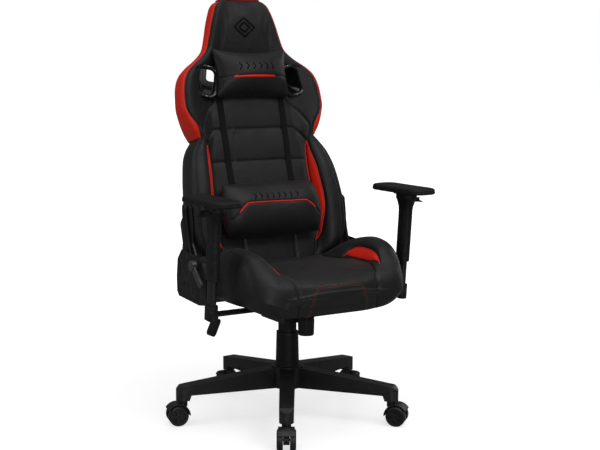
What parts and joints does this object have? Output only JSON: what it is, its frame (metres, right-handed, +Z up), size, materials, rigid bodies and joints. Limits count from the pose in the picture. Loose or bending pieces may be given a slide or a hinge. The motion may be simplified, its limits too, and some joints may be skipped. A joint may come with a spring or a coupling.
{
  "type": "gaming chair",
  "caption": "Racing-style gaming chair: winged reclining back with harness slots, bucket seat, head and lumbar pillows, adjustable arms, tilt mechanism and gas lift on a caster base.",
  "frame": {"origin": "on the floor, on the axis of the lift column", "axes": "+Z up along the column, +X to the sitter's left, -Y out of the front of the seat, +Y to the rear"},
  "size_m": [0.76, 0.7147, 1.273],
  "materials": {
    "bright_steel": "satin",
    "black_steel": "satin",
    "base_plastic": "satin",
    "caster_wheel": "satin",
    "trim_plastic": "matte",
    "gloss_black": "gloss",
    "black_leather": "satin",
    "red_leather": "satin",
    "arm_pad": "matte",
    "strap_webbing": "matte"
  },
  "bodies": {
    "base": {"star_base": "base_plastic", "column_tube": "black_steel", "thrust_bearing": "bright_steel", "column_cover_lower": "trim_plastic"},
    "caster_1": {"caster_1_housing": "base_plastic"},
    "caster_1_wheel_left": {"caster_1_wheel_left": "caster_wheel"},
    "caster_1_wheel_right": {"caster_1_wheel_right": "caster_wheel"},
    "caster_2": {"caster_2_housing": "base_plastic"},
    "caster_2_wheel_left": {"caster_2_wheel_left": "caster_wheel"},
    "caster_2_wheel_right": {"caster_2_wheel_right": "caster_wheel"},
    "caster_3": {"caster_3_housing": "base_plastic"},
    "caster_3_wheel_left": {"caster_3_wheel_left": "caster_wheel"},
    "caster_3_wheel_right": {"caster_3_wheel_right": "caster_wheel"},
    "caster_4": {"caster_4_housing": "base_plastic"},
    "caster_4_wheel_left": {"caster_4_wheel_left": "caster_wheel"},
    "caster_4_wheel_right": {"caster_4_wheel_right": "caster_wheel"},
    "caster_5": {"caster_5_housing": "base_plastic"},
    "caster_5_wheel_left": {"caster_5_wheel_left": "caster_wheel"},
    "caster_5_wheel_right": {"caster_5_wheel_right": "caster_wheel"},
    "lift_rod": {"piston_rod": "bright_steel"},
    "mechanism": {"gas_cylinder": "black_steel", "column_cover_upper": "trim_plastic", "mechanism_housing": "black_steel", "tilt_shaft": "bright_steel", "tilt_spring": "bright_steel"},
    "valve_pin": {"valve_pin": "bright_steel"},
    "lever_carrier": {"lever_carrier": "black_steel"},
    "height_lever": {"height_lever": "black_steel", "lever_paddle": "trim_plastic"},
    "seat": {"seat_plate": "black_steel", "seat_frame": "black_steel", "seat_bolts": "bright_steel", "seat_cushion": "black_leather", "tension_bolt": "bright_steel", "arm_bracket_left": "black_steel", "arm_bracket_right": "black_steel", "arm_foot_caps": "trim_plastic", "recliner_plates": "black_steel", "recliner_covers": "trim_plastic"},
    "tension_knob": {"tension_knob": "trim_plastic"},
    "recline_lever": {"recline_lever": "gloss_black"},
    "back": {"back_frame": "black_steel", "back_cushion": "black_leather", "recliner_arms": "black_steel", "recliner_shaft": "black_steel", "recliner_arm_covers": "trim_plastic", "head_pillow": "black_leather", "pillow_straps": "strap_webbing", "slot_bezels": "gloss_black"},
    "lumbar_pillow": {"lumbar_pillow": "black_leather"},
    "arm_sleeve_left": {"arm_sleeve_left": "trim_plastic"},
    "arm_trigger_left": {"arm_trigger_left": "trim_plastic"},
    "arm_swivel_left": {"arm_swivel_left": "trim_plastic"},
    "arm_slide_left": {"arm_slide_left": "trim_plastic"},
    "arm_pad_left": {"arm_pad_left": "arm_pad"},
    "arm_sleeve_right": {"arm_sleeve_right": "trim_plastic"},
    "arm_trigger_right": {"arm_trigger_right": "trim_plastic"},
    "arm_swivel_right": {"arm_swivel_right": "trim_plastic"},
    "arm_slide_right": {"arm_slide_right": "trim_plastic"},
    "arm_pad_right": {"arm_pad_right": "arm_pad"}
  },
  "joints": [
    {"name": "caster_1_swivel", "type": "hinge", "parent": "base", "child": "caster_1", "pos_m": [-0.16945, -0.28201, 0.093], "axis": [0, 0, 1], "continuous": true},
    {"name": "caster_1_roll_left", "type": "hinge", "parent": "caster_1", "child": "caster_1_wheel_left", "pos_m": [-0.17872, -0.29744, 0.03], "axis": [0.8572, -0.515, 0], "continuous": true},
    {"name": "caster_1_roll_right", "type": "hinge", "parent": "caster_1", "child": "caster_1_wheel_right", "pos_m": [-0.17872, -0.29744, 0.03], "axis": [0.8572, -0.515, 0], "continuous": true},
    {"name": "caster_2_swivel", "type": "hinge", "parent": "base", "child": "caster_2", "pos_m": [0.21584, -0.2483, 0.093], "axis": [0, 0, 1], "continuous": true},
    {"name": "caster_2_roll_left", "type": "hinge", "parent": "caster_2", "child": "caster_2_wheel_left", "pos_m": [0.22765, -0.26188, 0.03], "axis": [0.7547, 0.6561, 0], "continuous": true},
    {"name": "caster_2_roll_right", "type": "hinge", "parent": "caster_2", "child": "caster_2_wheel_right", "pos_m": [0.22765, -0.26188, 0.03], "axis": [0.7547, 0.6561, 0], "continuous": true},
    {"name": "caster_3_swivel", "type": "hinge", "parent": "base", "child": "caster_3", "pos_m": [0.30285, 0.12855, 0.093], "axis": [0, 0, 1], "continuous": true},
    {"name": "caster_3_roll_left", "type": "hinge", "parent": "caster_3", "child": "caster_3_wheel_left", "pos_m": [0.31942, 0.13558, 0.03], "axis": [-0.3907, 0.9205, 0], "continuous": true},
    {"name": "caster_3_roll_right", "type": "hinge", "parent": "caster_3", "child": "caster_3_wheel_right", "pos_m": [0.31942, 0.13558, 0.03], "axis": [-0.3907, 0.9205, 0], "continuous": true},
    {"name": "caster_4_swivel", "type": "hinge", "parent": "base", "child": "caster_4", "pos_m": [-0.02867, 0.32775, 0.093], "axis": [0, 0, 1], "continuous": true},
    {"name": "caster_4_roll_left", "type": "hinge", "parent": "caster_4", "child": "caster_4_wheel_left", "pos_m": [-0.03024, 0.34568, 0.03], "axis": [-0.9962, -0.0872, 0], "continuous": true},
    {"name": "caster_4_roll_right", "type": "hinge", "parent": "caster_4", "child": "caster_4_wheel_right", "pos_m": [-0.03024, 0.34568, 0.03], "axis": [-0.9962, -0.0872, 0], "continuous": true},
    {"name": "caster_5_swivel", "type": "hinge", "parent": "base", "child": "caster_5", "pos_m": [-0.32057, 0.07401, 0.093], "axis": [0, 0, 1], "continuous": true},
    {"name": "caster_5_roll_left", "type": "hinge", "parent": "caster_5", "child": "caster_5_wheel_left", "pos_m": [-0.33811, 0.07806, 0.03], "axis": [-0.225, -0.9744, 0], "continuous": true},
    {"name": "caster_5_roll_right", "type": "hinge", "parent": "caster_5", "child": "caster_5_wheel_right", "pos_m": [-0.33811, 0.07806, 0.03], "axis": [-0.225, -0.9744, 0], "continuous": true},
    {"name": "seat_swivel", "type": "hinge", "parent": "base", "child": "lift_rod", "pos_m": [0, 0, 0.08], "axis": [0, 0, 1], "continuous": true},
    {"name": "seat_lift", "type": "slide", "parent": "lift_rod", "child": "mechanism", "axis": [0, 0, 1], "range_m": [-0.03, 0.05]},
    {"name": "lever_lift", "type": "hinge", "parent": "mechanism", "child": "lever_carrier", "pos_m": [-0.034, 0, 0.338], "axis": [0, 1, 0], "range_deg": [0, 7], "stiffness_Nm_per_rad": 4, "springref_deg": -6.88},
    {"name": "lever_pull", "type": "slide", "parent": "lever_carrier", "child": "height_lever", "axis": [-1, 0, 0], "range_m": [0, 0.014]},
    {"name": "valve_press", "type": "slide", "parent": "mechanism", "child": "valve_pin", "axis": [0, 0, -1], "range_m": [0, 0.0043]},
    {"name": "seat_tilt", "type": "hinge", "parent": "mechanism", "child": "seat", "pos_m": [0, -0.045, 0.352], "axis": [-1, 0, 0], "range_deg": [0, 10], "stiffness_Nm_per_rad": 260, "springref_deg": -17.19, "deforming": ["tilt_spring"]},
    {"name": "tension_turn", "type": "hinge", "parent": "seat", "child": "tension_knob", "pos_m": [0, -0.11, 0.3], "axis": [0, 0, 1], "continuous": true},
    {"name": "recline", "type": "hinge", "parent": "seat", "child": "back", "pos_m": [0, 0.078, 0.47], "axis": [-1, 0, 0], "range_deg": [-6, 54]},
    {"name": "recline_lever_pull", "type": "hinge", "parent": "seat", "child": "recline_lever", "pos_m": [-0.3, 0.026, 0.488], "axis": [-1, 0, 0], "range_deg": [0, 25], "stiffness_Nm_per_rad": 2, "springref_deg": -14.32},
    {"name": "lumbar_slide", "type": "slide", "parent": "back", "child": "lumbar_pillow", "axis": [0, 0.2706, 0.9627], "range_m": [-0.01, 0.05]},
    {"name": "arm_height_left", "type": "slide", "parent": "seat", "child": "arm_sleeve_left", "axis": [0, -0.0872, 0.9962], "range_m": [-0.045, 0.03]},
    {"name": "arm_trigger_pull_left", "type": "hinge", "parent": "arm_sleeve_left", "child": "arm_trigger_left", "pos_m": [0.357, -0.158, 0.665], "axis": [0, -1, 0], "range_deg": [0, 15], "stiffness_Nm_per_rad": 0.6, "springref_deg": -11.46},
    {"name": "arm_turn_left", "type": "hinge", "parent": "arm_sleeve_left", "child": "arm_swivel_left", "pos_m": [0.328, -0.158, 0.678], "axis": [0, 0, 1], "range_deg": [-20, 20]},
    {"name": "arm_depth_left", "type": "slide", "parent": "arm_swivel_left", "child": "arm_slide_left", "axis": [0, 1, 0], "range_m": [-0.02, 0.02]},
    {"name": "arm_width_left", "type": "slide", "parent": "arm_slide_left", "child": "arm_pad_left", "axis": [1, 0, 0], "range_m": [-0.01, 0.01]},
    {"name": "arm_height_right", "type": "slide", "parent": "seat", "child": "arm_sleeve_right", "axis": [0, -0.0872, 0.9962], "range_m": [-0.045, 0.03]},
    {"name": "arm_trigger_pull_right", "type": "hinge", "parent": "arm_sleeve_right", "child": "arm_trigger_right", "pos_m": [-0.357, -0.158, 0.665], "axis": [0, 1, 0], "range_deg": [0, 15], "stiffness_Nm_per_rad": 0.6, "springref_deg": -11.46},
    {"name": "arm_turn_right", "type": "hinge", "parent": "arm_sleeve_right", "child": "arm_swivel_right", "pos_m": [-0.328, -0.158, 0.678], "axis": [0, 0, 1], "range_deg": [-20, 20]},
    {"name": "arm_depth_right", "type": "slide", "parent": "arm_swivel_right", "child": "arm_slide_right", "axis": [0, 1, 0], "range_m": [-0.02, 0.02]},
    {"name": "arm_width_right", "type": "slide", "parent": "arm_slide_right", "child": "arm_pad_right", "axis": [1, 0, 0], "range_m": [-0.01, 0.01]}
  ],
  "couplings": [
    {"joint": "valve_press", "follows": "lever_lift", "m_per_rad": 0.0345}
  ]
}
